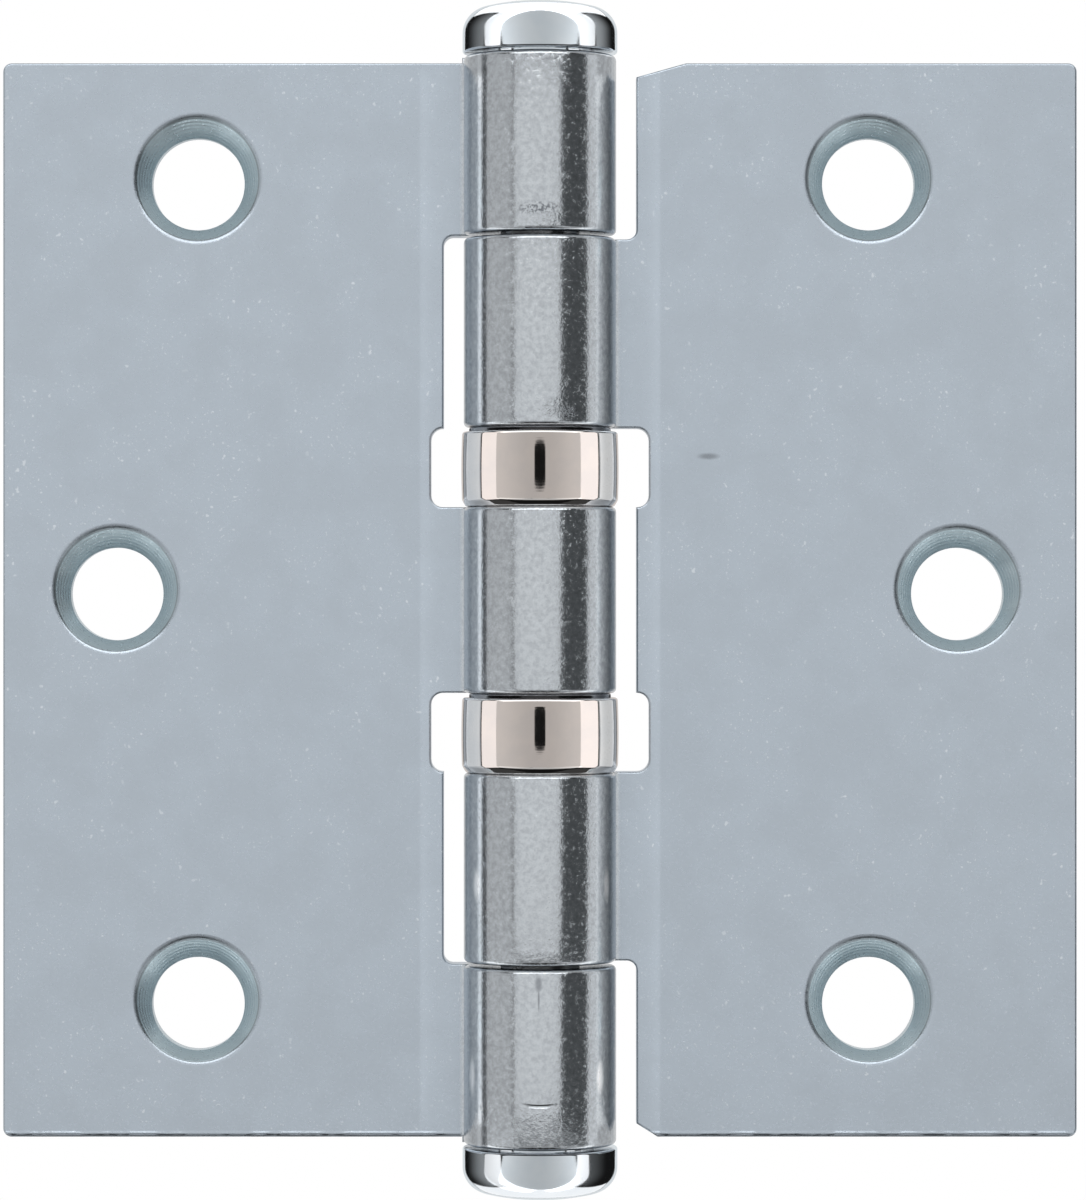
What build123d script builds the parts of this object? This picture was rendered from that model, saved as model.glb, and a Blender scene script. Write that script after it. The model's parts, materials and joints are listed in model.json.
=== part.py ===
import os
from math import acos, asin, cos, degrees, pi, radians, sin, sqrt

from build123d import *

# A ball bearing butt hinge, laid open flat.
# Z runs up the pin from its middle, the leaves lie along X, and their countersunk fronts face -Y.

# leaves, in millimetres
leaf_height = 89.0
leaf_reach = 44.5
plate = 3.0
closed_gap = 2.0
outer_corner = 0.7

# barrel
pin_diameter = 6.5
pin_clearance = 0.05
middle_knuckle = 15.4
inner_knuckle = 15.65
seam_gap = 0.2
knuckle_overhang = 0.45
bend_radius = 1.0
roll_gap = 0.15

# slots in each leaf for the knuckles and bearings of the other one
knuckle_slot_clearance = 1.7
slot_corner = 0.8
bearing_slot_clearance = 2.55
bearing_slot_corner = 1.0
top_relief = (4.1, 1.15)
bottom_relief = (1.75, 1.1)

# screw holes: insets from a leaf's ends and outer edge, each countersink a little above its hole
hole_diameter = 7.7
sink_diameter = 10.45
sink_rise = 0.4
screw_rise = 0.5
end_inset = 10.45
left_insets = {"pair": 16.1, "middle": 9.35}
right_insets = {"pair": 17.2, "middle": 9.8}

# caps on the ends of the pin
cap_lip = 0.1
cap_height = 4.55
cap_corner = 2.7
cap_cones = 5
socket_depth = 2.6

# thrust bearings
ball_diameter = 2.5
ball_spacing = 0.3
ball_clearance = 0.02
race_clearance = 0.1
race_thickness = 2.31
cup_wall = 0.55
cup_floor = 1.7
cup_chamfer = 0.5
cup_rim_gap = 0.35

pin_radius = pin_diameter / 2
eye_inner = pin_radius + pin_clearance
eye_outer = eye_inner + plate
front_face = closed_gap / 2
back_face = front_face + plate

race_inner = pin_radius + race_clearance
pitch_radius = race_inner + ball_diameter / 2
cup_inner = race_inner + ball_diameter + race_clearance
cup_outer = cup_inner + cup_wall
ball_count = int(pi / asin((ball_diameter + ball_spacing) / 2 / pitch_radius))

half_leaf = leaf_height / 2
barrel_end = half_leaf + knuckle_overhang
race_low = cup_floor + ball_diameter + 2 * ball_clearance
bearing_height = race_low + race_thickness
bearing_low = middle_knuckle / 2
bearing_high = bearing_low + bearing_height
seam_low = bearing_high + inner_knuckle
seam_high = seam_low + seam_gap

os.makedirs("parts", exist_ok=True)


def save(part, name):
    part.label = name
    export_step(part, f"parts/{name}.step")


def rolled_section(side):
    """The sheet seen along the pin: flat leaf, S-bend, and eye rolled round the back to the front face."""
    centre_y = back_face + bend_radius
    centre_reach = eye_outer + bend_radius
    bend_x = sqrt(centre_reach**2 - centre_y**2)
    turn = degrees(acos(centre_y / centre_reach))
    lip = asin((front_face - roll_gap) / eye_outer)
    wrap = 270 + turn + degrees(lip)
    with BuildSketch(Plane.XY.offset(-barrel_end)) as section:
        with BuildLine():
            front = Line((side * leaf_reach, front_face), (side * bend_x, front_face))
            rise = JernArc(front @ 1, front % 1, bend_radius + plate, -side * turn)
            bore = JernArc(rise @ 1, rise % 1, eye_inner, side * wrap)
            end = Line(bore @ 1, (side * eye_outer * cos(lip), eye_outer * sin(lip)))
            outside = JernArc(end @ 1, -(bore % 1), eye_outer, -side * wrap)
            fall = JernArc(outside @ 1, outside % 1, bend_radius, side * turn)
            back = Line(fall @ 1, (side * leaf_reach, back_face))
            Line(back @ 1, front @ 0)
        make_face()
    return section.sketch


def blank_outline(side, slots, reliefs):
    """The leaf seen from the front, with a slot for each knuckle and bearing of the other leaf."""
    slot_width = 4 * eye_outer
    with BuildSketch(Plane.XZ) as blank:
        with Locations((side * leaf_reach / 2, 0)):
            Rectangle(leaf_reach, leaf_height)
        fillet(blank.vertices().sort_by_distance((side * leaf_reach, 0))[:2], outer_corner)
        Rectangle(2 * (eye_outer + roll_gap), 2 * barrel_end)
        for low, high, reach, corner in slots:
            with Locations((side * (reach - slot_width / 2), (low + high) / 2)):
                RectangleRounded(slot_width, high - low, corner, mode=Mode.SUBTRACT)
        for across, down, level in reliefs:
            x = side * (eye_outer + knuckle_slot_clearance)
            with BuildLine():
                Polyline((x, level), (x + side * across, level), (x, level - down), close=True)
            make_face(mode=Mode.SUBTRACT)
    return blank.sketch


def leaf(side, slots, insets, reliefs=()):
    """A leaf cut from sheet, rolled at its knuckles and countersunk for three screws."""
    row = half_leaf - end_inset
    holes = [(insets["pair"], row), (insets["middle"], 0), (insets["pair"], -row)]
    with BuildPart() as part:
        add(rolled_section(side))
        extrude(amount=2 * barrel_end)
        outline = blank_outline(side, slots, reliefs)
        extrude(outline, amount=2 * eye_outer, both=True, mode=Mode.INTERSECT)
        for inset, level in holes:
            x = side * (leaf_reach - inset)
            z = level + screw_rise
            with Locations(Plane((x, front_face, z), z_dir=(0, -1, 0))):
                Hole(hole_diameter / 2, plate)
            with Locations(Plane((x, front_face, z + sink_rise), z_dir=(0, 1, 0))):
                Cone(
                    sink_diameter / 2,
                    sink_diameter / 2 - plate,
                    plate,
                    align=(Align.CENTER, Align.CENTER, Align.MIN),
                    mode=Mode.SUBTRACT,
                )
    return part.part


def below(span):
    return (-span[1], -span[0], *span[2:])


knuckle_slot = eye_outer + knuckle_slot_clearance
bearing_slot = cup_outer + bearing_slot_clearance
slot_joint = bearing_high - bearing_slot_corner
bearing_span = (bearing_low, bearing_high, bearing_slot, bearing_slot_corner)
inner_span = (bearing_low + bearing_slot_corner, seam_high, knuckle_slot, slot_corner)
middle_span = (-slot_joint, slot_joint, knuckle_slot, slot_corner)
outer_span = (seam_low, 2 * barrel_end, knuckle_slot, slot_corner)

left_spans = [bearing_span, inner_span, below(bearing_span), below(inner_span)]
save(leaf(-1, left_spans, left_insets), "left_leaf")

right_spans = [outer_span, bearing_span, middle_span, below(bearing_span), below(outer_span)]
right_reliefs = [(*top_relief, half_leaf), (bottom_relief[0], -bottom_relief[1], -half_leaf)]
save(leaf(1, right_spans, right_insets, right_reliefs), "right_leaf")

with BuildPart() as pin:
    Cylinder(pin_radius, 2 * (barrel_end + socket_depth))
save(pin.part, "hinge_pin")

# the round-over of a cap is turned as a few short cones, to keep its facets few
with BuildPart() as caps:
    cap_radius = eye_outer + cap_lip
    cap_top = barrel_end + cap_height
    steps = [radians(90 * step / cap_cones) for step in range(cap_cones + 1)]
    round_over = [
        (cap_radius - cap_corner * (1 - cos(step)), cap_top - cap_corner * (1 - sin(step)))
        for step in steps
    ]
    with BuildSketch(Plane.XZ):
        with BuildLine():
            Polyline(
                (0, barrel_end + socket_depth),
                (pin_radius, barrel_end + socket_depth),
                (pin_radius, barrel_end),
                (cap_radius, barrel_end),
                *round_over,
                (0, cap_top),
                close=True,
            )
        make_face()
    revolve(axis=Axis.Z)
    mirror(about=Plane.XY)
save(caps.part, "pin_caps")

for bearing, seat in (("upper", bearing_low), ("lower", -bearing_high)):
    with BuildPart() as cup:
        with BuildSketch(Plane((0, 0, seat), x_dir=(1, 0, 0), z_dir=(0, -1, 0))):
            with BuildLine():
                Polyline(
                    (race_inner, 0),
                    (cup_outer - cup_chamfer, 0),
                    (cup_outer, cup_chamfer),
                    (cup_outer, bearing_height - cup_rim_gap),
                    (cup_inner, bearing_height - cup_rim_gap),
                    (cup_inner, cup_floor),
                    (race_inner, cup_floor),
                    close=True,
                )
            make_face()
        revolve(axis=Axis.Z)
    save(cup.part, f"{bearing}_bearing_cup")

    with BuildPart() as race:
        with BuildSketch(Plane.XY.offset(seat + race_low)):
            Circle(cup_inner - race_clearance)
            Circle(race_inner, mode=Mode.SUBTRACT)
        extrude(amount=race_thickness)
    save(race.part, f"{bearing}_bearing_race")

    # each ball is drawn with eighteen flats that touch its sphere, to keep its facets few
    ball_level = Plane.XY.offset(seat + cup_floor + ball_clearance + ball_diameter / 2)
    for number in range(ball_count):
        with BuildPart(ball_level) as ball:
            with PolarLocations(pitch_radius, 1, start_angle=number * 360 / ball_count):
                Box(ball_diameter, ball_diameter, ball_diameter)
            chamfer(ball.edges(), ball_diameter * (1 - sqrt(0.5)))
        save(ball.part, f"{bearing}_ball_{number + 1:02d}")
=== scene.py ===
import json
import math

import bmesh
import bpy
from mathutils import Matrix, Vector


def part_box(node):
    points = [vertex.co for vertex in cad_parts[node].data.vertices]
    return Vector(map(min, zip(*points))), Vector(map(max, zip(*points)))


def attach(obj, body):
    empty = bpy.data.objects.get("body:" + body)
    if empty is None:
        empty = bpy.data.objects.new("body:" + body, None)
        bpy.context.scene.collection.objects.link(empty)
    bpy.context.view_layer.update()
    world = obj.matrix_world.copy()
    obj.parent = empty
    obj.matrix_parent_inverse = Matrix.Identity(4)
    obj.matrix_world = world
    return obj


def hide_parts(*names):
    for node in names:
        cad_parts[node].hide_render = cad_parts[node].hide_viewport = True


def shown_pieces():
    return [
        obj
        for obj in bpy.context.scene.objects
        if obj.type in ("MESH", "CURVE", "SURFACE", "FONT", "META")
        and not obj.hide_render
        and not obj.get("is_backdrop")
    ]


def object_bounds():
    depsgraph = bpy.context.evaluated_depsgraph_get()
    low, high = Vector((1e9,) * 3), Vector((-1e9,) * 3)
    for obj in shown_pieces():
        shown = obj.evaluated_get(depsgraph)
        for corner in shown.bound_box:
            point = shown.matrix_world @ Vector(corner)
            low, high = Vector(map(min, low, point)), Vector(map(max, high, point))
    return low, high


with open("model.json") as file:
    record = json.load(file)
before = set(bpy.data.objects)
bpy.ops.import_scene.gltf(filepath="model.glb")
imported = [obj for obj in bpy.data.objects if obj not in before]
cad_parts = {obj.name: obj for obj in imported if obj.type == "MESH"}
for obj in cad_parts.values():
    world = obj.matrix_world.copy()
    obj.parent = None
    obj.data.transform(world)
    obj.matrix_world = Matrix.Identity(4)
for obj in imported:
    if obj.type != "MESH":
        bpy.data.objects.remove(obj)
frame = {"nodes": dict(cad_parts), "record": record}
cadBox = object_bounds()
scene = bpy.context.scene
mm = 0.001
closeBy = 1e-4  # points this near to each other, in millimetres, are the same point
record = frame["record"]
nodeBody = {node: body for body, nodes in record["behaviour"]["bodies"].items() for node in nodes}
nodeSlot = {row["node"]: row["material_slot"] for row in record["subparts"]}


def boxInMillimetres(node):
    low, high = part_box(node)
    return low / mm, high / mm


# levels and radii that the frame gives, in millimetres
leafLow, leafHigh = boxInMillimetres("left_leaf")
cupLow, cupHigh = boxInMillimetres("upper_bearing_cup")
raceHigh = boxInMillimetres("upper_bearing_race")[1]
pinHigh = boxInMillimetres("hinge_pin")[1]
capHigh = boxInMillimetres("pin_caps")[1]
eyeOuter = leafHigh.x
barrelEnd = leafHigh.z
bearingLow = cupLow.z
bearingHigh = raceHigh.z


# materials

def startMaterial(name):
    material = bpy.data.materials.new(name)
    material.use_nodes = True
    return material, material.node_tree, material.node_tree.nodes["Principled BSDF"]


def addNode(tree, kind, sockets=None, **settings):
    node = tree.nodes.new(kind)
    for key, value in settings.items():
        setattr(node, key, value)
    for socket, value in (sockets or {}).items():
        if isinstance(value, bpy.types.NodeSocket):
            tree.links.new(value, node.inputs[socket])
        else:
            node.inputs[socket].default_value = value
    return node


def mathNode(tree, operation, first, second=0.0):
    return addNode(tree, "ShaderNodeMath", {0: first, 1: second}, operation=operation).outputs[0]


def mapRange(tree, value, fromLow, fromHigh, toLow, toHigh):
    sockets = {"Value": value, "From Min": fromLow, "From Max": fromHigh, "To Min": toLow, "To Max": toHigh}
    return addNode(tree, "ShaderNodeMapRange", sockets, interpolation_type="SMOOTHSTEP").outputs["Result"]


def noise(tree, place, scale, detail=2.0, roughness=0.5):
    sockets = {"Vector": place, "Scale": scale, "Detail": detail, "Roughness": roughness}
    return addNode(tree, "ShaderNodeTexNoise", sockets).outputs["Fac"]


def mixColours(tree, share, first, second):
    sockets = {0: share, 6: first, 7: second}
    return addNode(tree, "ShaderNodeMix", sockets, data_type="RGBA").outputs[2]


def bumped(tree, height, distance, strength):
    sockets = {"Height": height, "Distance": distance, "Strength": strength}
    return addNode(tree, "ShaderNodeBump", sockets).outputs["Normal"]


# the piece's own coordinates, turned into millimetres
def placeInMillimetres(tree):
    place = addNode(tree, "ShaderNodeTexCoord").outputs["Object"]
    scale = (1 / mm, 1 / mm, 1 / mm)
    return addNode(tree, "ShaderNodeMapping", {"Vector": place, "Scale": scale}).outputs["Vector"]


# the three parts of a place, and how far it is from the axis of the pin
def aboutAxis(tree, place):
    x, y, z = addNode(tree, "ShaderNodeSeparateXYZ", {0: place}).outputs
    flat = addNode(tree, "ShaderNodeCombineXYZ", {0: x, 1: y}).outputs[0]
    away = addNode(tree, "ShaderNodeVectorMath", {0: flat}, operation="LENGTH").outputs["Value"]
    return x, y, z, away


# a soft round or long spot about a point, 1 in its middle
def spot(tree, place, centre, halfSize, turn=0.0):
    moved = addNode(tree, "ShaderNodeVectorMath", {0: place, 1: centre}, operation="SUBTRACT").outputs[0]
    sockets = {"Vector": moved, "Rotation": (0, turn, 0), "Scale": [1 / size for size in halfSize]}
    shaped = addNode(tree, "ShaderNodeMapping", sockets).outputs["Vector"]
    reach = addNode(tree, "ShaderNodeVectorMath", {0: shaped}, operation="LENGTH").outputs["Value"]
    return mapRange(tree, reach, 0.25, 1.0, 1.0, 0.0)


zincLook = {
    "light": (0.437, 0.492, 0.549, 1),
    "dark": (0.421, 0.472, 0.525, 1),
    # colour of the plating's bright flecks, and also of the painted highlight line down the barrel
    "fleck": (0.7, 0.74, 0.78, 1),
    # dark colour of real rubs and scuffs, also used for the painted shade and painted reflection marks
    "worn": (0.17, 0.185, 0.205, 1),
    "barrelLight": (0.56, 0.595, 0.625, 1),
    "barrelDark": (0.4, 0.425, 0.45, 1),
    "sinkTint": (0.49, 0.59, 0.63, 1),
    "sinkMarks": 44.0,
    "mouthLine": (1.1, 0.02, 0.06),  # painted shade: a dark line just inside a countersink's mouth, and its softness
    "leafRoughness": 0.3,
    "barrelRoughness": 0.16,
    "roughnessSpread": (0.03, 0.02),  # on the leaf and on the barrel
    "noises": {  # scale, detail and roughness
        "clouds": (0.2, 3.0, 0.6),
        "grain": (4.2, 2.0, 0.6),
        "sand": (2.1, 6.0, 0.74),
        "specks": (2.3, 1.0, 0.4),
        "crumbs": (5.0, 3.0, 0.6),
    },
    "leafGrain": 0.0025,  # heights in millimetres, of the grain and then of the rest
    "barrelGrain": 0.011,
    "heights": {
        "flecks": 0.004,
        "pimples": 0.005,
        "marks": 0.003,
        "scuffs": -0.012,
        "rub": -0.015,
        "dent": -0.05,
        "hammered": 0.05,
        "burrRise": 0.06,
        "burrFall": -0.1,
    },
    "shares": {"flecks": 0.6, "brightLine": 0.55, "mouth": 0.55, "rub": 0.65, "burrFall": 0.7},
    "rubs": [  # centre, half size and turn of the rubbed places: one on the right leaf, one on a knuckle
        ((13.97, 1.0, 11.9), (1.2, 0.4, 0.36), math.radians(14)),
        ((-0.1, -6.3, -31.3), (0.4, 0.6, 0.9), 0.0),
        ((-0.1, -6.3, -32.6), (0.12, 0.6, 1.3), 0.0),
    ],
    "dentCentre": (0.0, -6.3, -33.3),  # a curved nick on the lowest knuckle is an arc about this
    "dentRadius": 8.0,
    "dentReach": (1.7, 1.5, 0.8),  # half size of the stretch that shows
    "drawLine": (-4.55, 0.3),  # a ragged dark streak painted down the barrel, a painted reflection: place across and half width
    # painted highlight: a bright line painted down the barrel's front in place of a lamp's reflection,
    # place across and half width
    "brightLine": (-4.98, 0.22),
    "scuffs": [  # centre and half size of the scuffed places on the barrel
        ((-0.2, -6.3, 32.0), (2.6, 1.2, 0.7)),
        ((2.3, -5.9, 15.3), (1.2, 1.0, 0.9)),
    ],
    "burnished": [  # the same for the painted glints: bright patches painted on the knuckles' sides in place of lamp reflections
        ((-5.2, -3.6, -23.4), (0.5, 0.8, 1.7)),
        ((5.5, -3.1, -23.4), (0.4, 0.8, 1.7)),
        ((-5.6, -2.9, -39.1), (0.45, 0.8, 2.0)),
        ((4.95, -3.9, -39.1), (0.45, 0.8, 1.8)),
    ],
    "hammered": [  # and for the places that are beaten rough
        ((0.4, -6.3, 31.1), (2.4, 1.2, 1.0)),
        ((0.9, -6.2, 15.8), (1.8, 1.0, 1.1)),
        ((-0.3, -6.3, -29.0), (2.6, 1.2, 0.7)),
        ((0.0, -6.3, -43.0), (2.8, 1.4, 1.8)),
    ],
    # colour of the painted glints
    "bright": (0.97, 0.97, 0.97, 1),
    "burr": (-43.95, -44.2, -44.4),  # levels where the burr on the lower edge starts, crests and ends
}


def zincPlate(look):
    material, tree, shader = startMaterial("blueZincPlate")
    place = placeInMillimetres(tree)
    x, y, z, fromAxis = aboutAxis(tree, place)
    barrel = mapRange(tree, fromAxis, eyeOuter + 0.1, eyeOuter + 0.5, 1.0, 0.0)
    facing = mathNode(tree, "LESS_THAN", y, 0.0)
    shares = look["shares"]

    def times(first, second):
        return mathNode(tree, "MULTIPLY", first, second)

    def larger(first, second):
        return mathNode(tree, "MAXIMUM", first, second)

    def apart(first, second):
        return mathNode(tree, "ABSOLUTE", mathNode(tree, "SUBTRACT", first, second))

    # broad clouds, plating grain and its bright flecks, which gather in places
    clouds, grain, sand, specks, crumbs = (noise(tree, place, *row) for row in look["noises"].values())
    gathered = mapRange(tree, clouds, 0.44, 0.6, 0.1, 1.0)
    fine = mapRange(tree, grain, 0.63, 0.72, 0.0, 1.0)
    coarse = mapRange(tree, specks, 0.7, 0.78, 0.0, 1.0)
    flecks = times(larger(fine, coarse), gathered)
    pimples = times(mapRange(tree, sand, 0.56, 0.72, 0.0, 1.0), barrel)

    def spots(rows):
        together = 0.0
        for row in rows:
            together = larger(spot(tree, place, *row), together)
        return together

    rub = spots(look["rubs"])
    scuffs = times(spots(look["scuffs"]), mapRange(tree, crumbs, 0.49, 0.57, 0.0, 1.0))
    burnished = spots(look["burnished"])
    hammered = times(spots(look["hammered"]), grain)

    # the lower edge was sheared: a low rise, broken here and there, then a steep fall. The fall is also
    # darkened in colour, a painted shade for the dark that the rounded edge reflects
    start, crest, end = look["burr"]
    onLeaf = mapRange(tree, barrel, 0.0, 1.0, 1.0, 0.0)
    ragged = times(mapRange(tree, clouds, 0.42, 0.56, 0.35, 1.0), onLeaf)
    burrRise = times(mapRange(tree, z, start, crest, 0.0, 1.0), ragged)
    burrFall = times(mapRange(tree, z, crest, end, 0.0, 1.0), ragged)

    def lineDown(across, halfWidth):
        return times(mapRange(tree, apart(x, across), halfWidth * 0.3, halfWidth, 1.0, 0.0), facing)

    # painted reflection: a ragged dark streak down the front of the barrel
    drawLine = times(lineDown(*look["drawLine"]), mapRange(tree, grain, 0.4, 0.55, 0.1, 0.7))
    # painted highlight: a bright line down the front of the barrel
    brightLine = times(lineDown(*look["brightLine"]), shares["brightLine"])

    # turning marks in the countersinks follow the rings' own attribute, which runs from 1 at the mouth to 2
    turned = addNode(tree, "ShaderNodeAttribute", attribute_name="sinkTurn").outputs["Fac"]
    sink = mapRange(tree, turned, 1.0, 1.1, 0.0, 1.0)
    marks = times(mathNode(tree, "SINE", times(turned, look["sinkMarks"])), sink)
    line, lineInner, lineOuter = look["mouthLine"]
    # painted shade: a dark ring just inside each countersink's mouth
    mouth = mapRange(tree, apart(turned, line), lineInner, lineOuter, shares["mouth"], 0.0)

    tone = mapRange(tree, clouds, 0.35, 0.65, 0.0, 1.0)
    colour = mixColours(tree, tone, look["dark"], look["light"])
    colour = mixColours(tree, times(flecks, shares["flecks"]), colour, look["fleck"])
    barrelTone = mapRange(tree, sand, 0.3, 0.7, 0.0, 1.0)
    barrelColour = mixColours(tree, barrelTone, look["barrelDark"], look["barrelLight"])
    barrelColour = mixColours(tree, brightLine, barrelColour, look["fleck"])
    barrelColour = mixColours(tree, drawLine, barrelColour, look["worn"])
    colour = mixColours(tree, barrel, colour, barrelColour)
    sinkTone = mapRange(tree, marks, -1.0, 1.0, 0.75, 1.0)
    colour = mixColours(tree, times(sink, sinkTone), colour, look["sinkTint"])
    colour = mixColours(tree, mouth, colour, look["worn"])
    # painted highlight: the glint patches are mixed in as near white
    colour = mixColours(tree, burnished, colour, look["bright"])
    # rubs and scuffs are real wear; the lower edge's fall mixed in here is painted shade
    worn = larger(times(rub, shares["rub"]), scuffs)
    # painted shade: the lower edge's fall is darkened
    worn = larger(worn, times(burrFall, shares["burrFall"]))
    colour = mixColours(tree, worn, colour, look["worn"])
    tree.links.new(colour, shader.inputs["Base Color"])

    def roughness(middle, spread):
        return mapRange(tree, grain, 0.3, 0.7, middle - spread, middle + spread)

    leafRough = roughness(look["leafRoughness"], look["roughnessSpread"][0])
    barrelRough = roughness(look["barrelRoughness"], look["roughnessSpread"][1])
    mixed = addNode(tree, "ShaderNodeMix", {0: barrel, 2: leafRough, 3: barrelRough}).outputs[0]
    tree.links.new(mixed, shader.inputs["Roughness"])

    centre, radius = Vector(look["dentCentre"]), look["dentRadius"]
    sockets = {0: place, 1: centre}
    fromDent = addNode(tree, "ShaderNodeVectorMath", sockets, operation="DISTANCE").outputs["Value"]
    lowArc = spot(tree, place, centre - Vector((0, 0, radius)), look["dentReach"])
    dent = times(mapRange(tree, apart(fromDent, radius), 0.04, 0.18, 1.0, 0.0), lowArc)

    # all heights are brought together for one bump
    height = times(grain, mapRange(tree, barrel, 0.0, 1.0, look["leafGrain"], look["barrelGrain"]))
    shapes = (flecks, pimples, marks, scuffs, rub, dent, hammered, burrRise, burrFall)
    for shape, depth in zip(shapes, look["heights"].values()):
        height = mathNode(tree, "ADD", height, times(shape, depth))
    tree.links.new(bumped(tree, height, mm, 1.0), shader.inputs["Normal"])
    shader.inputs["Metallic"].default_value = 1.0
    return material


polishLook = {
    "smears": (0.5, 3.0),  # scale and detail
    "roughnessSpread": 0.3,
    "lineDepth": 0.004,
    "lineStrength": 0.25,
}


# turned and polished metal: fine lines round the axis, faint smears
def polishedMetal(name, colour, shade, roughness, lineScale):
    material, tree, shader = startMaterial(name)
    place = placeInMillimetres(tree)
    z, fromAxis = aboutAxis(tree, place)[2:]
    turned = addNode(tree, "ShaderNodeCombineXYZ", {0: fromAxis, 2: z}).outputs[0]
    lines = noise(tree, turned, lineScale)
    smears = noise(tree, place, *polishLook["smears"])
    tint = mixColours(tree, mapRange(tree, smears, 0.35, 0.65, 0.0, 1.0), colour, shade)
    tree.links.new(tint, shader.inputs["Base Color"])
    spread = roughness * polishLook["roughnessSpread"]
    rough = mapRange(tree, smears, 0.3, 0.7, roughness - spread, roughness + spread)
    tree.links.new(rough, shader.inputs["Roughness"])
    bump = bumped(tree, lines, polishLook["lineDepth"] * mm, polishLook["lineStrength"])
    tree.links.new(bump, shader.inputs["Normal"])
    shader.inputs["Metallic"].default_value = 1.0
    return material


finish = {  # polished ones: name, colour, its darker shade, roughness, scale of the turning lines
    "zinc_plate": zincPlate(zincLook),
    "cup_nickel": polishedMetal("polishedNickel", (0.9, 0.86, 0.83, 1), (0.86, 0.83, 0.81, 1), 0.05, 9.0),
    "cap_chrome": polishedMetal("mirrorChrome", (0.86, 0.89, 0.92, 1), (0.82, 0.86, 0.9, 1), 0.1, 6.0),
    "pin_steel": polishedMetal("drawnRod", (0.52, 0.52, 0.52, 1), (0.44, 0.44, 0.45, 1), 0.3, 4.0),
    "race_steel": polishedMetal("groundRace", (0.5, 0.5, 0.51, 1), (0.43, 0.43, 0.45, 1), 0.18, 14.0),
    "ball_steel": polishedMetal("lappedBall", (0.68, 0.68, 0.69, 1), (0.62, 0.62, 0.64, 1), 0.05, 3.0),
}
print("finishes made:", len(finish))


# pieces

def putPiece(bm, name, nodes):
    bmesh.ops.scale(bm, vec=(mm, mm, mm), verts=bm.verts)
    mesh = bpy.data.meshes.new(name)
    bm.to_mesh(mesh)
    bm.free()
    mesh.materials.append(finish[nodeSlot[nodes[0]]])
    piece = bpy.data.objects.new(name, mesh)
    scene.collection.objects.link(piece)
    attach(piece, nodeBody[nodes[0]])
    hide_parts(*nodes)
    print("piece", name, "with", len(mesh.polygons), "faces")
    return piece


# smooth all but the flat sides, and keep real corners sharp
def shade(bm, sharpAngle, flatFaces=()):
    for face in bm.faces:
        face.smooth = face not in flatFaces
    for edge in bm.edges:
        if len(edge.link_faces) == 2:
            edge.smooth = edge.calc_face_angle(0) < sharpAngle


def edgesOf(elements):
    return [e for e in elements if isinstance(e, bmesh.types.BMEdge)]


def vertsOf(elements):
    return [v for v in elements if isinstance(v, bmesh.types.BMVert)]


leafShape = {
    "sheet": 3.0,
    "frontFace": 1.0,  # behind the pin's axis
    "bendRadius": 1.0,
    "rollGap": 0.15,
    "halfHeight": 44.5,
    "outerCorner": 0.7,
    "knuckleSlot": eyeOuter + 1.7,
    "slotCorner": 0.8,
    "bearingSlot": cupHigh.x + 2.55,
    "bearingCorner": 1.0,
    "seamLow": bearingHigh + 15.65,
    "seamHigh": bearingHigh + 15.92,
    "frontRound": 0.16,
    "rimRound": 0.4,
    "holeRadius": 3.85,
    "sinkRadius": 5.225,
    "sinkRise": 0.4,
    "sinkRound": 0.26,
    "padRadius": 6.6,  # ring of faces round each hole
    "holeSides": 96,
    "bendSteps": 12,
    "rollSteps": 132,
    "cornerSteps": 6,
    "roundSteps": 4,
    "sharpAngle": math.radians(40),
    "flatLimit": 1e-5,  # how far a flat side's normal may be from straight
}
leafShape["reach"] = -leafLow.x
leafShape["backFace"] = leafShape["frontFace"] + leafShape["sheet"]

# where the S-bend starts and how far it turns, and how far the roll's lip comes round to the front
bendCentre = leafShape["backFace"] + leafShape["bendRadius"]
bendReach = eyeOuter + leafShape["bendRadius"]
bendStart = math.sqrt(bendReach ** 2 - bendCentre ** 2)
bendTurn = math.acos(bendCentre / bendReach)
lipTurn = math.asin((leafShape["frontFace"] - leafShape["rollGap"]) / eyeOuter)


# corners of a leaf's upper half as (distance from the pin, level, corner radius)
def leftCorners(s):
    return [
        (bendStart, bearingLow, 0),
        (s["bearingSlot"], bearingLow, s["bearingCorner"]),
        (s["bearingSlot"], bearingHigh, s["bearingCorner"]),
        (s["knuckleSlot"], bearingHigh, 0),
        (s["knuckleSlot"], s["seamHigh"], s["slotCorner"]),
        (bendStart, s["seamHigh"], 0),
        (bendStart, barrelEnd, 0),
        (eyeOuter + s["rollGap"], barrelEnd, 0),
        (eyeOuter + s["rollGap"], s["halfHeight"], 0),
        (s["reach"], s["halfHeight"], s["outerCorner"]),
    ]


def rightCorners(s, reliefAcross, reliefDown):
    return [
        (s["knuckleSlot"], bearingLow, 0),
        (s["bearingSlot"], bearingLow, s["bearingCorner"]),
        (s["bearingSlot"], bearingHigh, s["bearingCorner"]),
        (bendStart, bearingHigh, 0),
        (bendStart, s["seamLow"], 0),
        (s["knuckleSlot"], s["seamLow"], s["slotCorner"]),
        (s["knuckleSlot"], s["halfHeight"] - reliefDown, 0),
        (s["knuckleSlot"] + reliefAcross, s["halfHeight"], 0),
        (s["reach"], s["halfHeight"], s["outerCorner"]),
    ]


def below(corners):
    return [(across, -level, radius) for across, level, radius in reversed(corners)]


def atTongueEnd(edge):
    return all(abs(v.co.x - bendStart) < closeBy for v in edge.verts)


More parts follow.
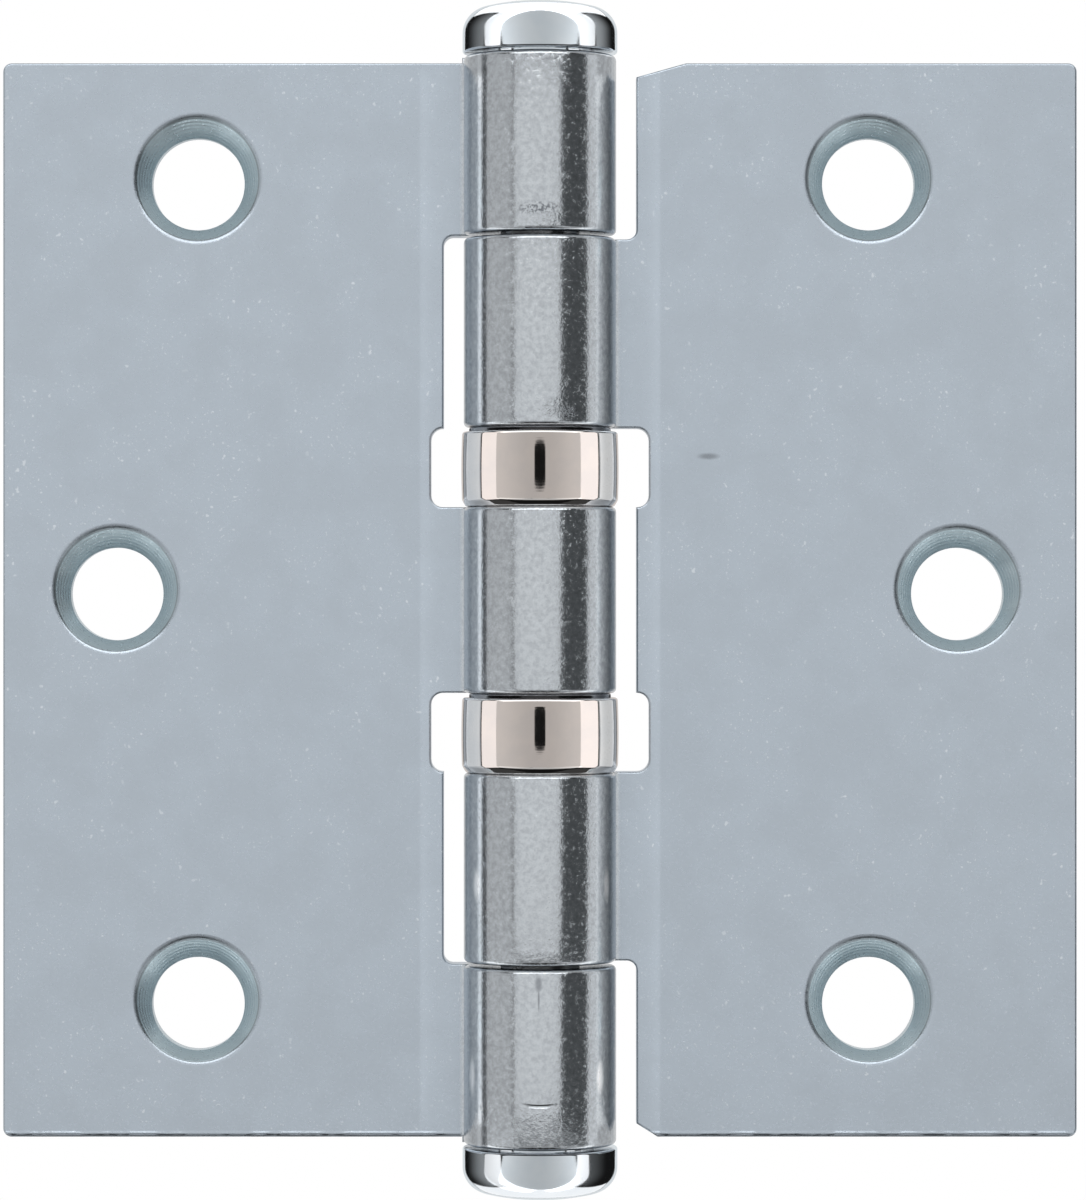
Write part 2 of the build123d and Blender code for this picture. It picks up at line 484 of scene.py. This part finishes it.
# the flat blank: outline, rounded corners, thickness, softened edges
def cutBlank(corners, s):
    bm = bmesh.new()
    points = [bm.verts.new((across, s["backFace"], level)) for across, level, radius in corners]
    bm.faces.new(points)
    for radius in sorted({corner[2] for corner in corners if corner[2]}):
        rounded = [v for v, corner in zip(points, corners) if corner[2] == radius]
        bmesh.ops.bevel(
            bm, geom=rounded, offset=radius, segments=s["cornerSteps"], profile=0.5,
            affect="VERTICES", material=-1,
        )
    pushed = bmesh.ops.extrude_face_region(bm, geom=bm.faces[:], use_keep_orig=True)
    bmesh.ops.translate(bm, vec=(0, -s["sheet"], 0), verts=vertsOf(pushed["geom"]))
    bmesh.ops.recalc_face_normals(bm, faces=bm.faces)
    outline = [
        e for e in bm.edges
        if abs(e.verts[0].co.y - e.verts[1].co.y) < closeBy and not atTongueEnd(e)
    ]
    inFront = [e for e in outline if e.verts[0].co.y < s["backFace"] - closeBy]
    behind = [e for e in outline if e not in inFront]
    for edges, offset in ((inFront, s["frontRound"]), (behind, s["rimRound"])):
        bmesh.ops.bevel(
            bm, geom=edges, offset=offset, segments=s["roundSteps"], profile=0.5,
            affect="EDGES", material=-1, clamp_overlap=False,
        )
    return bm


# each tongue's end is bent back and then rolled round the pin
def rollKnuckles(bm, s):
    ends = [f for f in bm.faces if all(atTongueEnd(e) for e in f.edges)]
    for end in ends:
        rim = list(end.edges) + list(end.verts)
        bmesh.ops.delete(bm, geom=[end], context="FACES_ONLY")
        bent = bmesh.ops.spin(
            bm, geom=rim, cent=(bendStart, bendCentre, 0), axis=(0, 0, 1), angle=-bendTurn,
            steps=s["bendSteps"], use_merge=False,
        )["geom_last"]
        rolled = bmesh.ops.spin(
            bm, geom=bent, cent=(0, 0, 0), axis=(0, 0, 1),
            angle=1.5 * math.pi + bendTurn + lipTurn, steps=s["rollSteps"], use_merge=False,
        )["geom_last"]
        bmesh.ops.contextual_create(bm, geom=edgesOf(rolled))
    print("knuckles rolled:", len(ends))


def ringAt(bm, centre, radius, y, sides):
    turn = Matrix.Translation((centre[0], y, centre[1])) @ Matrix.Rotation(math.radians(90), 4, "X")
    made = bmesh.ops.create_circle(bm, cap_ends=False, radius=radius, segments=sides, matrix=turn)
    return list({e for v in made["verts"] for e in v.link_edges})


# draws the ring's edges on to a new ring, whose points the given rule places by their angle
def drawRing(bm, ring, centre, rule):
    pulled = bmesh.ops.extrude_edge_only(bm, edges=ring)["geom"]
    for v in vertsOf(pulled):
        angle = math.atan2(v.co.z - centre[1], v.co.x - centre[0])
        v.co = rule(angle)
    return edgesOf(pulled)


# both flat sides are filled round their rings, then each hole is drawn through
def pierceHoles(bm, centres, s):
    rings = {}
    for y in (s["frontFace"], s["backFace"]):
        flats = [f for f in bm.faces if all(abs(v.co.y - y) < closeBy for v in f.verts)]
        side = max(flats, key=lambda f: f.calc_area())
        border = list(side.edges)
        bmesh.ops.delete(bm, geom=[side], context="FACES_ONLY")
        rings[y] = [ringAt(bm, centre, s["padRadius"], y, s["holeSides"]) for centre in centres]
        joined = border + [e for ring in rings[y] for e in ring]
        bmesh.ops.triangle_fill(bm, edges=joined, use_beauty=True, use_dissolve=False)

    turning = bm.verts.layers.float.new("sinkTurn")
    mouths = []
    for centre, ring in zip(centres, rings[s["frontFace"]]):

        def circle(radius, y, rise=0.0):
            x, z = centre[0], centre[1] + rise
            return lambda a: Vector((x + radius * math.cos(a), y, z + radius * math.sin(a)))

        # where the countersink's cone, which stands a little higher, runs out in the hole's wall
        def throat(a):
            hole, rise = s["holeRadius"], s["sinkRise"]
            reach = math.sqrt(hole ** 2 + rise ** 2 - 2 * hole * rise * math.sin(a))
            return circle(hole, s["frontFace"] + s["sinkRadius"] - reach)(a)

        mouth = drawRing(bm, ring, centre, circle(s["sinkRadius"], s["frontFace"], s["sinkRise"]))
        neck = drawRing(bm, mouth, centre, throat)
        wall = drawRing(bm, neck, centre, circle(s["holeRadius"], s["backFace"]))
        drawRing(bm, wall, centre, circle(s["padRadius"], s["backFace"]))
        for edges, value in ((mouth, 1.0), (neck, 2.0), (wall, 1.0)):
            for v in {v for e in edges for v in e.verts}:
                v[turning] = value
        mouths += mouth
    bmesh.ops.remove_doubles(bm, verts=bm.verts, dist=closeBy)
    mouths = [e for e in mouths if e.is_valid]
    bmesh.ops.bevel(
        bm, geom=mouths, offset=s["sinkRound"], segments=s["roundSteps"], profile=0.5,
        affect="EDGES", material=-1,
    )


def makeLeaf(name, node, side, corners, holes, s):
    bm = cutBlank(corners, s)
    pierceHoles(bm, holes, s)
    rollKnuckles(bm, s)
    bmesh.ops.remove_doubles(bm, verts=bm.verts, dist=closeBy)
    if side < 0:
        bmesh.ops.scale(bm, vec=(-1, 1, 1), verts=bm.verts)
    bmesh.ops.recalc_face_normals(bm, faces=bm.faces)
    flats = {
        f for f in bm.faces
        if abs(abs(f.normal.y) - 1) < s["flatLimit"] and f.calc_center_median().xz.length > eyeOuter
    }
    shade(bm, s["sharpAngle"], flats)
    return putPiece(bm, name, [node])


leafHoles = {
    "endInset": 10.45,
    "rise": 0.5,
    "left": {"pair": 16.1, "middle": 9.35},
    "right": {"pair": 17.2, "middle": 9.8},
}
leafReliefs = {"top": (4.1, 1.15), "bottom": (1.75, 1.1)}


def holeCentres(insets, s):
    row = s["halfHeight"] - leafHoles["endInset"]
    places = [(insets["pair"], row), (insets["middle"], 0), (insets["pair"], -row)]
    return [(s["reach"] - inset, level + leafHoles["rise"]) for inset, level in places]


upperLeft = leftCorners(leafShape)
makeLeaf(
    "rolledLeafLeft", "left_leaf", -1, upperLeft + below(upperLeft),
    holeCentres(leafHoles["left"], leafShape), leafShape,
)
makeLeaf(
    "rolledLeafRight", "right_leaf", 1,
    rightCorners(leafShape, *leafReliefs["top"]) + below(rightCorners(leafShape, *leafReliefs["bottom"])),
    holeCentres(leafHoles["right"], leafShape), leafShape,
)


# a closed section, given as (radius, level, corner radius), turned round the pin's axis
def turnSection(corners, steps, cornerSteps):
    bm = bmesh.new()
    points = [bm.verts.new((radius, 0, level)) for radius, level, corner in corners]
    bm.faces.new(points)
    for size in sorted({corner[2] for corner in corners if corner[2]}):
        rounded = [v for v, corner in zip(points, corners) if corner[2] == size]
        bmesh.ops.bevel(
            bm, geom=rounded, offset=size, segments=cornerSteps, profile=0.5,
            affect="VERTICES", material=-1,
        )
    bmesh.ops.delete(bm, geom=bm.faces[:], context="FACES_ONLY")
    return turnRound(bm, steps)


def turnRound(bm, steps):
    bmesh.ops.spin(
        bm, geom=bm.verts[:] + bm.edges[:], cent=(0, 0, 0), axis=(0, 0, 1), angle=2 * math.pi,
        steps=steps, use_merge=True,
    )
    bmesh.ops.remove_doubles(bm, verts=bm.verts, dist=closeBy)
    bmesh.ops.recalc_face_normals(bm, faces=bm.faces)
    return bm


capShape = {
    "corner": 2.2,
    "dome": 20.0,
    "lipRound": 0.2,
    "lipSteps": 5,
    "neckGap": 0.22,
    "neck": 4.6,
    "steps": 144,
    "domeSteps": 8,
    "cornerSteps": 14,
    "sharpAngle": math.radians(50),
}


# a cap's section is spun from its top point: shallow dome, round-over, then straight down
def makeCap(name, up, s):
    bm = bmesh.new()
    radius = capHigh.x
    domeCentre = capHigh.z - s["dome"]
    cornerReach = radius - s["corner"]
    domeTurn = math.asin(cornerReach / (s["dome"] - s["corner"]))
    cornerLevel = domeCentre + math.sqrt((s["dome"] - s["corner"]) ** 2 - cornerReach ** 2)
    lipLow = barrelEnd + s["neckGap"]
    top = bm.verts.new((0, 0, capHigh.z))
    over = bmesh.ops.spin(
        bm, geom=[top], cent=(0, 0, domeCentre), axis=(0, 1, 0), angle=domeTurn,
        steps=s["domeSteps"], use_merge=False,
    )["geom_last"]
    down = bmesh.ops.spin(
        bm, geom=over, cent=(cornerReach, 0, cornerLevel), axis=(0, 1, 0), angle=math.pi / 2 - domeTurn,
        steps=s["cornerSteps"], use_merge=False,
    )["geom_last"]
    side = bmesh.ops.extrude_vert_indiv(bm, verts=vertsOf(down))["verts"]
    side[0].co = (radius, 0, lipLow + s["lipRound"])
    under = bmesh.ops.spin(
        bm, geom=side, cent=(radius - s["lipRound"], 0, lipLow + s["lipRound"]), axis=(0, 1, 0),
        angle=math.pi / 2, steps=s["lipSteps"], use_merge=False,
    )["geom_last"]
    last = vertsOf(under)[0]
    for x, z in (
        (s["neck"], lipLow),
        (s["neck"], barrelEnd),
        (pinHigh.x, barrelEnd),
        (pinHigh.x, pinHigh.z),
        (0, pinHigh.z),
    ):
        last = vertsOf(bmesh.ops.extrude_vert_indiv(bm, verts=[last])["verts"])[0]
        last.co = (x, 0, z)
    turnRound(bm, s["steps"])
    bmesh.ops.scale(bm, vec=(1, 1, up), verts=bm.verts)
    bmesh.ops.recalc_face_normals(bm, faces=bm.faces)
    shade(bm, s["sharpAngle"])
    return putPiece(bm, name, ["pin_caps"])


makeCap("domedCapUpper", 1, capShape)
makeCap("domedCapLower", -1, capShape)

cupShape = {
    "boreGap": 0.1,
    "wall": 0.55,
    "floor": 1.7,
    "crown": 0.08,  # how far the wall's ends fall back from its middle
    "crownDepth": 0.7,  # how deep from the outside the mesh follows the crown
    "chamferWide": 0.3,
    "chamferTall": 0.55,
    "chamferRound": 0.15,
    "rimRound": 0.25,
    "rimInner": 0.1,
    "steps": 144,
    "cornerSteps": 6,
    "crownCuts": 12,
    "sharpAngle": math.radians(40),
}
raceShape = {"edgeRound": 0.15, "steps": 144, "cornerSteps": 3, "sharpAngle": math.radians(40)}
ballShape = {"subdivisions": 4}


# a turned wall drawn in towards both ends, with the rounds at its ends
def crownWall(bm, radius, low, high, s):
    middle, half = (low + high) / 2, (high - low) / 2
    upright = [
        e for e in bm.edges
        if all(Vector(v.co.xy).length > radius - closeBy for v in e.verts)
        and abs(e.verts[0].co.z - e.verts[1].co.z) > half
    ]
    bmesh.ops.subdivide_edges(bm, edges=upright, cuts=s["crownCuts"], use_grid_fill=True)
    for v in bm.verts:
        reach = Vector(v.co.xy).length
        if reach > radius - s["crownDepth"]:
            share = 1 - s["crown"] * ((v.co.z - middle) / half) ** 2 / reach
            v.co = (v.co.x * share, v.co.y * share, v.co.z)


def makeBearing(level):
    low, high = boxInMillimetres(f"{level}_bearing_cup")
    raceFoot, raceTop = boxInMillimetres(f"{level}_bearing_race")
    bore = pinHigh.x + cupShape["boreGap"]
    inner = high.x - cupShape["wall"]
    cup = turnSection(
        [
            (bore, low.z, 0),
            (high.x - cupShape["chamferWide"], low.z, cupShape["chamferRound"]),
            (high.x, low.z + cupShape["chamferTall"], cupShape["chamferRound"]),
            (high.x, high.z, cupShape["rimRound"]),
            (inner, high.z, cupShape["rimInner"]),
            (inner, low.z + cupShape["floor"], 0),
            (bore, low.z + cupShape["floor"], 0),
        ],
        cupShape["steps"],
        cupShape["cornerSteps"],
    )
    crownWall(cup, high.x, low.z, high.z, cupShape)
    bmesh.ops.recalc_face_normals(cup, faces=cup.faces)
    shade(cup, cupShape["sharpAngle"])
    putPiece(cup, f"{level}PolishedCup", [f"{level}_bearing_cup"])
    race = turnSection(
        [
            (bore, raceFoot.z, 0),
            (raceTop.x, raceFoot.z, raceShape["edgeRound"]),
            (raceTop.x, raceTop.z, raceShape["edgeRound"]),
            (bore, raceTop.z, 0),
        ],
        raceShape["steps"],
        raceShape["cornerSteps"],
    )
    shade(race, raceShape["sharpAngle"])
    putPiece(race, f"{level}GroundRace", [f"{level}_bearing_race"])


# one round ball for each ball node
def makeBalls(level):
    for node in sorted(n for n in frame["nodes"] if n.startswith(f"{level}_ball_")):
        low, high = boxInMillimetres(node)
        bm = bmesh.new()
        bmesh.ops.create_icosphere(
            bm, subdivisions=ballShape["subdivisions"], radius=(high.z - low.z) / 2,
            matrix=Matrix.Translation((low + high) / 2),
        )
        shade(bm, math.pi)
        putPiece(bm, node.replace("_ball_", "SteelBall"), [node])


for level in ("upper", "lower"):
    makeBearing(level)
    makeBalls(level)

frame["nodes"]["hinge_pin"].material_slots[0].material = finish["pin_steel"]


# stage: white floor, white surroundings for the camera, soft panels for the metal

def emitter(name, strength):
    material = bpy.data.materials.new(name)
    material.use_nodes = True
    tree = material.node_tree
    tree.nodes.clear()
    glow = addNode(tree, "ShaderNodeEmission", {"Color": (1, 1, 1, 1), "Strength": strength})
    addNode(tree, "ShaderNodeOutputMaterial", {"Surface": glow.outputs[0]})
    return material


floorShape = {"halfSize": 4.0, "drop": 0.0004}  # in metres
floorMesh = bpy.data.meshes.new("paleFloor")
bm = bmesh.new()
bmesh.ops.create_grid(bm, x_segments=1, y_segments=1, size=floorShape["halfSize"])
bmesh.ops.translate(bm, vec=(0, 0, cadBox[0].z - floorShape["drop"]), verts=bm.verts)
bm.to_mesh(floorMesh)
bm.free()
floorMesh.materials.append(emitter("paleFloorWhite", 1.0))
floor = bpy.data.objects.new("paleFloor", floorMesh)
scene.collection.objects.link(floor)
floor.visible_glossy = False
floor.visible_diffuse = False
floor.visible_shadow = False
floor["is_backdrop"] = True

roomLook = {"seen": 1.0, "fill": 0.008}
world = bpy.data.worlds.new("whiteRoom")
scene.world = world
world.use_nodes = True
world.node_tree.nodes.clear()
eye = addNode(world.node_tree, "ShaderNodeLightPath").outputs["Is Camera Ray"]
strength = mapRange(world.node_tree, eye, 0.0, 1.0, roomLook["fill"], roomLook["seen"])
sky = addNode(world.node_tree, "ShaderNodeBackground", {"Color": (1, 1, 1, 1), "Strength": strength})
addNode(world.node_tree, "ShaderNodeOutputWorld", {"Surface": sky.outputs[0]})

receivers = {
    "leaf": ("rolledLeafLeft", "rolledLeafRight"),
    "cup": ("upperPolishedCup", "lowerPolishedCup"),
    "cupUpper": ("upperPolishedCup",),
    "cupLower": ("lowerPolishedCup",),
    "capUpper": ("domedCapUpper",),
    "capLower": ("domedCapLower",),
}
lit = {name for names in receivers.values() for name in names}
receivers["inner"] = [piece.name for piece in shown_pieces() if piece.name not in lit]
litBy = {}
for kind, names in receivers.items():
    litBy[kind] = bpy.data.collections.new(kind + "Panels")
    for name in names:
        litBy[kind].objects.link(bpy.data.objects[name])

panelDistance = 0.6  # in metres
lampPower = 4.0  # watts for each square metre of a lamp, at a brightness of 1
white, warm, pink, cool = (1, 1, 1), (1, 0.945, 0.915), (1, 0.94, 0.92), (0.94, 0.98, 1)
panels = {
    # azimuth and elevation from the camera's line, width and height, all in degrees, then colour and
    # brightness: several values run from the panel's left to its right
    "leaf": {
        "Front": (-4, 1, 72, 44, white, 0.775),
        "Above": (0, 40, 76, 24, white, 2.0),
        "Zenith": (0, 80, 130, 48, white, 0.45),
        "Over": (0, 130, 90, 48, white, 0.6),
        "Low": (0, -34, 76, 18, white, 0.4),
        "LowLeft": (-66, -38, 50, 34, white, 0.42),
        "LowRight": (66, -38, 50, 34, white, 0.42),
        "Nadir": (0, -90, 130, 28, white, 1.05),
        "Left": (-66.25, 0, 47.5, 50, white, 0.56),
        "Gap": (53, 0, 40, 50, cool, 0.085),
        "Right": (86.5, 0, 21, 50, white, 0.74),
        "SideLeft": (-118, 0, 44, 90, white, 0.5),
        "SideRight": (118, 0, 44, 90, white, 0.5),
        "Behind": (180, 0, 80, 100, white, 0.6),
    },
    "cup": {
        "Left": (-39, 0, 56, 56, warm, 0.47, 0.36),
        "FarLeft": (-81, 0, 28, 56, pink, 0.78),
        "Right": (36.5, 0, 51, 56, warm, 0.36, 0.48),
        "FarRight": (78.5, 0, 33, 56, pink, 0.86),
        "Above": (0, 55, 110, 50, white, 1.2),
        "Below": (0, -39, 120, 22, white, 0.4),
        "Under": (0, -84, 110, 30, white, 0.03),
        "Behind": (180, 5, 50, 70, warm, 0.5),
    },
    "capUpper": {
        "Front": (0, 24, 118, 108, cool, 0.72, 0.42, 0.72),
        "Left": (-75, 27, 31, 114, white, 0.8, 1.1),
        "Right": (75, 27, 31, 114, white, 1.1, 0.8),
        "SideLeft": (-112, 10, 40, 80, cool, 0.01, 0.16),
        "SideRight": (112, 10, 40, 80, cool, 0.26, 0.01),
        "Over": (180, 68, 70, 68, white, 0.95),
        "Behind": (180, 5, 60, 56, cool, 0.6),
    },
    "capLower": {
        "Front": (-1.5, -24, 115, 108, cool, 0.6, 0.38, 0.66),
        "Left": (-75, -27, 32, 114, white, 0.62, 0.8),
        "Right": (67, -27, 22, 114, white, 0.92, 0.8),
        "SideLeft": (-112, -10, 42, 80, cool, 0.01, 0.2),
        "SideRight": (98, -10, 40, 80, cool, 0.06, 0.0),
        "Over": (180, -68, 70, 68, white, 0.8),
        "Behind": (180, -5, 60, 56, cool, 0.6),
    },
    "inner": {"Front": (0, 15, 60, 30, white, 0.06)},
}


def aimed(azimuth, elevation, distance):
    a, e = math.radians(azimuth), math.radians(elevation)
    return distance * Vector((math.sin(a) * math.cos(e), -math.cos(a) * math.cos(e), math.sin(e)))


def panelSize(angle):
    return 2 * panelDistance * math.tan(math.radians(angle) / 2)


# the place on a panel: 0 to 1 from its left to its right and from its foot to its top
def placeOnPanel(light):
    light.use_nodes = True
    place = addNode(light.node_tree, "ShaderNodeNewGeometry").outputs["Parametric"]
    split = addNode(light.node_tree, "ShaderNodeSeparateXYZ", {0: place}).outputs
    return split[0], split[1]


# brightness that runs from the left of a panel to its right through the given values
def fadeAcross(light, left, *rest):
    share = placeOnPanel(light)[0]
    tree = light.node_tree
    glow = left
    for step, (before, after) in enumerate(zip((left, *rest), rest)):
        low, high = step / len(rest), (step + 1) / len(rest)
        glow = mathNode(tree, "ADD", mapRange(tree, share, low, high, 0.0, after - before), glow)
    tree.links.new(glow, tree.nodes["Emission"].inputs["Strength"])


def placeLamp(name, kind, place, facing, size, colour, *brightness):
    light = bpy.data.lights.new(name, "AREA")
    light.shape = "RECTANGLE"
    light.size, light.size_y = size
    light.color = colour
    light.energy = lampPower * light.size * light.size_y
    if len(brightness) == 1:
        light.energy *= brightness[0]
    else:
        fadeAcross(light, *brightness)
    lamp = bpy.data.objects.new(name, light)
    lamp.location = place
    lamp.rotation_euler = facing.to_track_quat("-Z", "Y").to_euler()
    lamp.visible_camera = False
    lamp.light_linking.receiver_collection = litBy[kind]
    scene.collection.objects.link(lamp)
    return light


def placePanel(name, kind, azimuth, elevation, width, height, *look):
    place = aimed(azimuth, elevation, panelDistance)
    return placeLamp(name, kind, place, -place, (panelSize(width), panelSize(height)), *look)


# narrow strips close to the barrel, which light its sides in front of the leaves
strips = {
    # centre, width and height in millimetres, then colour and brightness as above
    "leaf": {
        "StripRight": ((10, -1.4, 0), 4.6, 88, white, 0.38, 0.08),
        "StripLeft": ((-10, -2.8, 0), 1.2, 88, white, 0.55),
        "StripEnd": ((-10, -0.8, 0), 2.6, 88, white, 0.12),
    },
}
for kind, level in (("cupUpper", 10.8), ("cupLower", -10.8)):
    strips[kind] = {
        "StripRight": ((8.9, -1.3, level), 4.4, 8, cool, 0.42),
        "StripLeft": ((-8.9, -1.3, level), 4.4, 8, cool, 0.22),
    }


def placeStrip(name, kind, centre, width, height, *look):
    inwards = Vector((-centre[0], 0, 0))
    placeLamp(name, kind, mm * Vector(centre), inwards, (width * mm, height * mm), *look)


# the dark upright bar that each cup mirrors: round ended, low and high in degrees above the camera's line
barLook = {
    "azimuth": 0,
    "width": 22,
    "height": 56,
    "halfWidth": 7.9,
    "endShare": 0.3,  # part of the half length that its round end takes up
    "edge": (0.85, 1.15),  # softness of its outline
    "glow": 0.36,
    "span": {"cupUpper": (-1.3, 7.2), "cupLower": (-5.0, 3.2)},
}


def placeBar(kind, low, high, look):
    light = placePanel(kind + "Bar", kind, look["azimuth"], 0, look["width"], look["height"], warm, 1.0)
    across, up = placeOnPanel(light)
    tree = light.node_tree

    def apart(value, middle):
        return mathNode(tree, "ABSOLUTE", mathNode(tree, "SUBTRACT", value, middle))

    halfWidth = panelSize(2 * look["halfWidth"]) / light.size / 2
    sideways = mathNode(tree, "DIVIDE", apart(across, 0.5), halfWidth)
    foot, top = (0.5 + panelSize(2 * angle) / light.size_y / 2 for angle in (low, high))
    half = (top - foot) / 2
    pastEnd = mathNode(tree, "SUBTRACT", apart(up, (foot + top) / 2), half * (1 - look["endShare"]))
    lengthways = mathNode(tree, "DIVIDE", mathNode(tree, "MAXIMUM", pastEnd, 0.0), half * look["endShare"])
    squares = [mathNode(tree, "POWER", value, 2.0) for value in (sideways, lengthways)]
    reach = mathNode(tree, "ADD", *squares)
    glow = mapRange(tree, reach, *look["edge"], 0.0, look["glow"])
    tree.links.new(glow, tree.nodes["Emission"].inputs["Strength"])


for kind, rows in panels.items():
    for name, row in rows.items():
        placePanel(kind + name, kind, *row)
for kind, rows in strips.items():
    for name, row in rows.items():
        placeStrip(kind + name, kind, *row)
for kind, span in barLook["span"].items():
    placeBar(kind, *span, barLook)
print("panels placed:", len(bpy.data.lights))

cameraView = {"distance": 430 * mm, "aside": 0.25 * mm, "nearest": 10 * mm, "lens": 156.0, "sensor": 36.0}
camera = bpy.data.cameras.new("photoView")
camera.lens = cameraView["lens"]
camera.sensor_width = cameraView["sensor"]
camera.clip_start = cameraView["nearest"]
photoCamera = bpy.data.objects.new("photoView", camera)
photoCamera.location = (cameraView["aside"], -cameraView["distance"], 0)
photoCamera.rotation_euler = (math.radians(90), 0, 0)
scene.collection.objects.link(photoCamera)
scene.camera = photoCamera
scene.view_settings.view_transform = "Standard"
